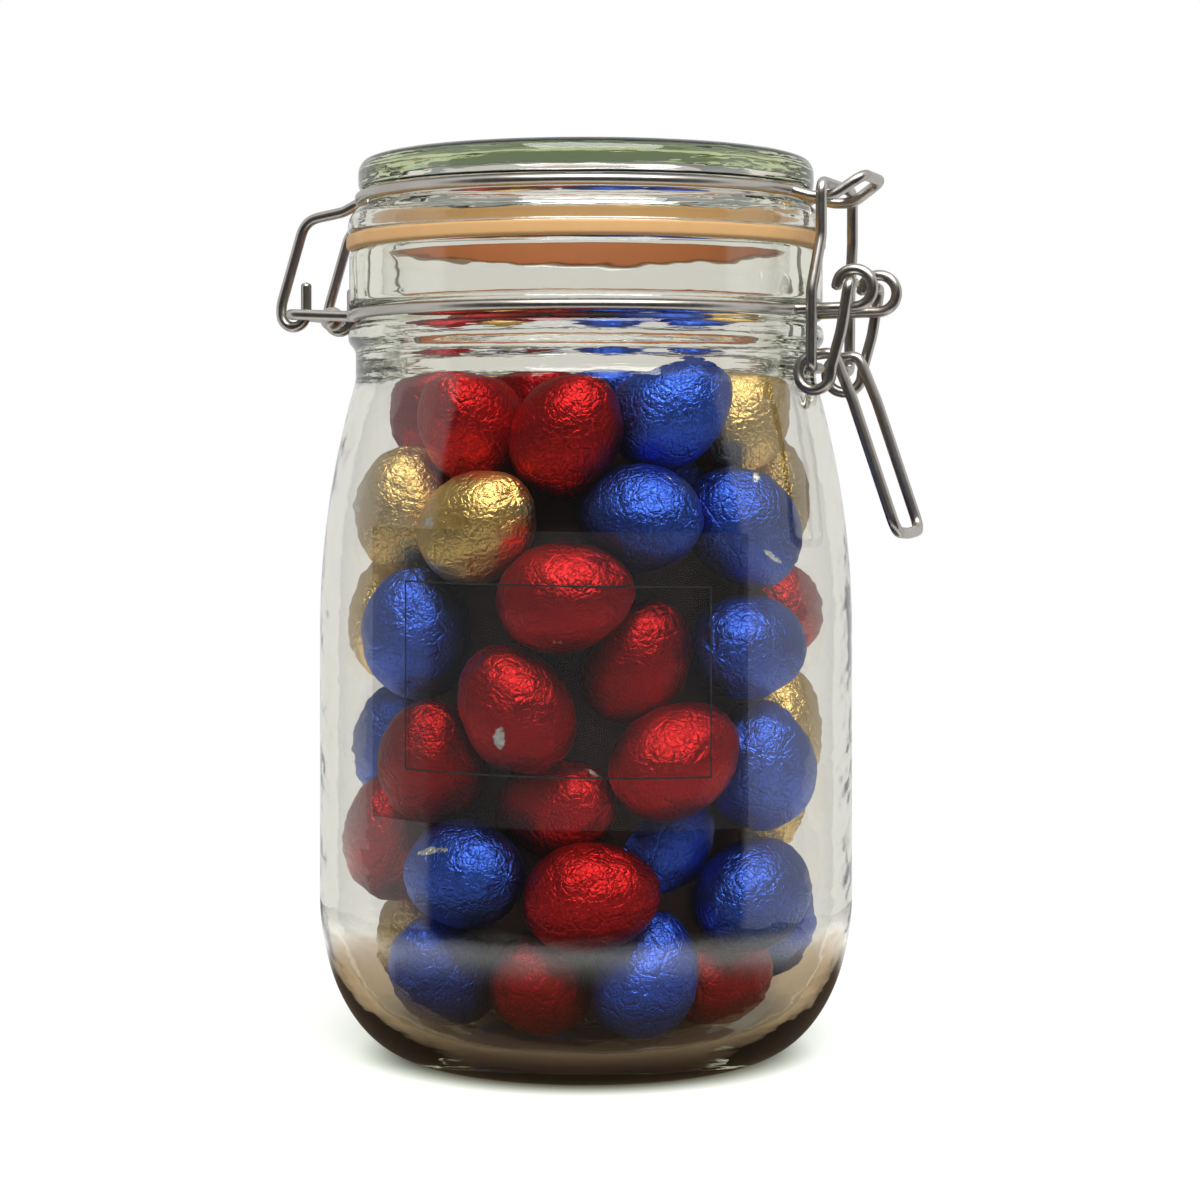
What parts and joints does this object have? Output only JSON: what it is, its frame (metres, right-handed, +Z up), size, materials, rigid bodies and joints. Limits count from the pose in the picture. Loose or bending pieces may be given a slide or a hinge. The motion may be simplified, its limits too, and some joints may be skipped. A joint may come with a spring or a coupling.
{
  "type": "clip-top jar of foil-wrapped chocolate eggs",
  "caption": "Shut clip-top glass jar with wire hinge and latched lever clasp, rubber seal and clear label film, filled with foil-wrapped chocolate eggs.",
  "frame": {"origin": "centre of the flat base, on the axis of the jar", "axes": "+Z up along the axis of the jar, +X towards the clasp, -X towards the hinge"},
  "size_m": [0.1316, 0.1085, 0.1813],
  "materials": {
    "glass": "clear pressed soda glass, faintly green where it is thick",
    "foil": "crumpled metallic foil in red, blue and gold",
    "film": "thin clear adhesive film, slightly hazy",
    "rubber": "smooth matt orange rubber",
    "steel_wire": "drawn stainless steel wire, satin to bright"
  },
  "bodies": {
    "root": {"jar_glass": "glass", "egg_heap": "foil", "label_film": "film", "seal": "rubber", "lid_glass": "glass", "neck_wire": "steel_wire", "lid_wire": "steel_wire", "bail": "steel_wire", "lever": "steel_wire"}
  },
  "joints": []
}
